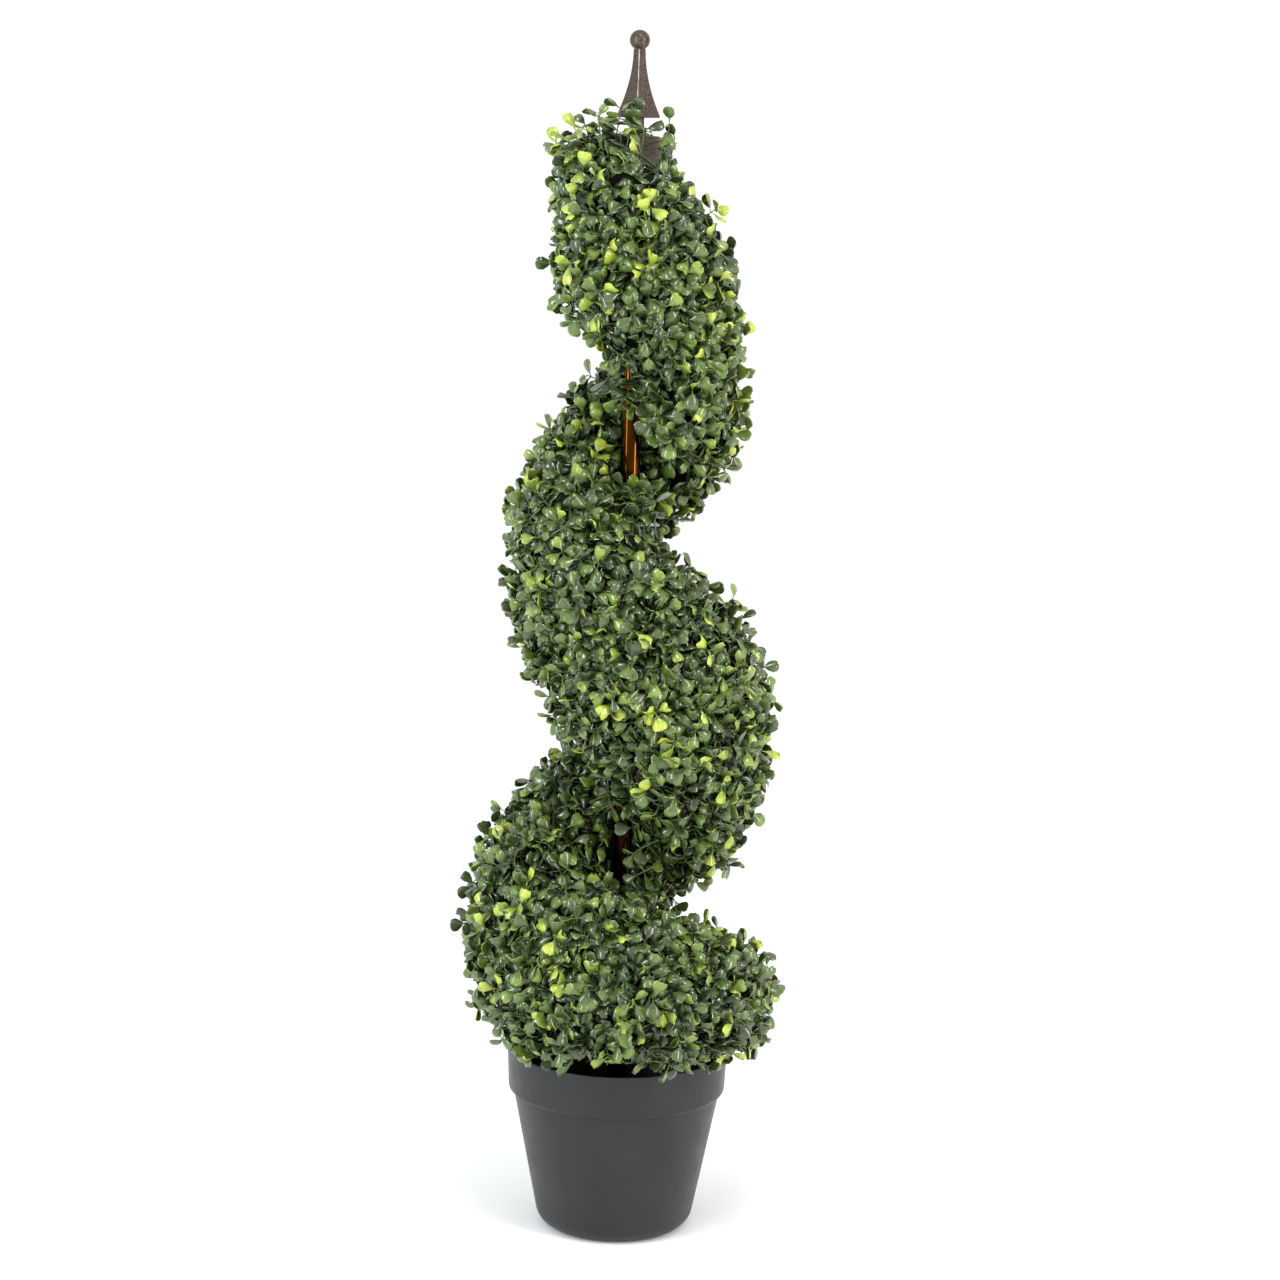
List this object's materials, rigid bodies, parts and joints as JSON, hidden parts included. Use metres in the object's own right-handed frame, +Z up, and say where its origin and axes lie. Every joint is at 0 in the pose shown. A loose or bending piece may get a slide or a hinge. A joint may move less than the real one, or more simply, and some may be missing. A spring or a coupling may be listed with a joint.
{
  "type": "spiral topiary",
  "caption": "Artificial boxwood spiral topiary: foliage mats wound round a trunk pole in a weighted planter pot, with a lift-off flared metal finial on top.",
  "frame": {"origin": "centre of the pot's flat underside", "axes": "+Z up along the trunk, -Y is the front; the spiral descends from the left (-X) past the front to the right"},
  "size_m": [0.33, 0.3342, 1.2],
  "materials": {
    "grey_pot": "matte",
    "ballast_cement": "matte",
    "lacquered_trunk": "gloss",
    "plain_steel": "satin",
    "collar_steel": "satin",
    "rusty_iron": "satin",
    "frame_wire": "satin",
    "boxwood_foliage": "gloss",
    "tie_plastic": "satin"
  },
  "bodies": {
    "tree": {"planter_pot": "grey_pot", "cast_ballast": "ballast_cement", "trunk_pole": "lacquered_trunk", "trunk_cross_pin_1": "plain_steel", "trunk_cross_pin_2": "plain_steel", "finial_block": "rusty_iron", "finial_set_screws": "plain_steel", "frame_outer_rail": "frame_wire", "frame_upper_rail": "frame_wire", "frame_inner_rail": "frame_wire", "frame_lower_rail": "frame_wire", "frame_ribs_upper": "frame_wire", "frame_ribs_middle": "frame_wire", "frame_ribs_lower": "frame_wire", "trunk_collar_1": "collar_steel", "trunk_collar_2": "collar_steel", "trunk_collar_3": "collar_steel", "trunk_collar_4": "collar_steel", "trunk_collar_5": "collar_steel", "frame_spoke_1": "frame_wire", "frame_spoke_2": "frame_wire", "frame_spoke_3": "frame_wire", "frame_spoke_4": "frame_wire", "frame_spoke_5": "frame_wire", "foliage_mat_01": "boxwood_foliage", "foliage_mat_02": "boxwood_foliage", "foliage_mat_03": "boxwood_foliage", "foliage_mat_04": "boxwood_foliage", "foliage_mat_05": "boxwood_foliage", "foliage_mat_06": "boxwood_foliage", "foliage_mat_07": "boxwood_foliage", "foliage_mat_08": "boxwood_foliage", "foliage_mat_09": "boxwood_foliage", "foliage_mat_10": "boxwood_foliage", "foliage_mat_11": "boxwood_foliage", "foliage_mat_12": "boxwood_foliage", "mat_ties": "tie_plastic"},
    "finial": {"finial_stem": "rusty_iron", "finial_spire": "rusty_iron", "finial_ball_stud": "plain_steel", "finial_ball": "rusty_iron"}
  },
  "joints": [
    {"name": "finial_lift", "type": "slide", "parent": "tree", "child": "finial", "axis": [0, 0, 1], "range_m": [0, 0.04]}
  ]
}
